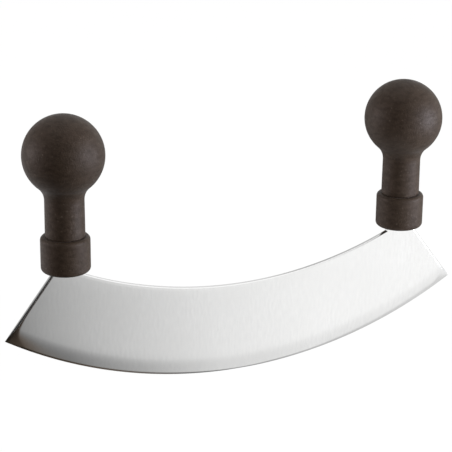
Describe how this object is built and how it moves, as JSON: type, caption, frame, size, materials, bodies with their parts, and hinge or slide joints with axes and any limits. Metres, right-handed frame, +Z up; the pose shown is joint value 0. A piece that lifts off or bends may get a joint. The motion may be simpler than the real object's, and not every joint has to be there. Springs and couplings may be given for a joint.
{
  "type": "mezzaluna",
  "caption": "Rocking chopper: a curved steel blade with an upright ball knob on a collar at each end.",
  "frame": {"origin": "lowest point of the cutting edge, midway between the handles, on the blade's middle plane", "axes": "+X along the blade from the left handle to the right one, +Y through the blade's thickness away from the front face, +Z up towards the knobs"},
  "size_m": [0.247, 0.04, 0.1455],
  "materials": {
    "blade_steel": "satin ground stainless steel with a fine polish",
    "handle_plastic": "dark brown-grey matte plastic with a fine spark-eroded texture",
    "fixing_steel": "turned steel",
    "insert_brass": "turned brass"
  },
  "bodies": {
    "root": {"blade": "blade_steel", "left_collar": "handle_plastic", "right_collar": "handle_plastic", "left_knob": "handle_plastic", "right_knob": "handle_plastic", "left_tang_stud": "fixing_steel", "right_tang_stud": "fixing_steel", "left_stud_pin": "fixing_steel", "right_stud_pin": "fixing_steel", "left_knob_insert": "insert_brass", "right_knob_insert": "insert_brass"}
  },
  "joints": []
}
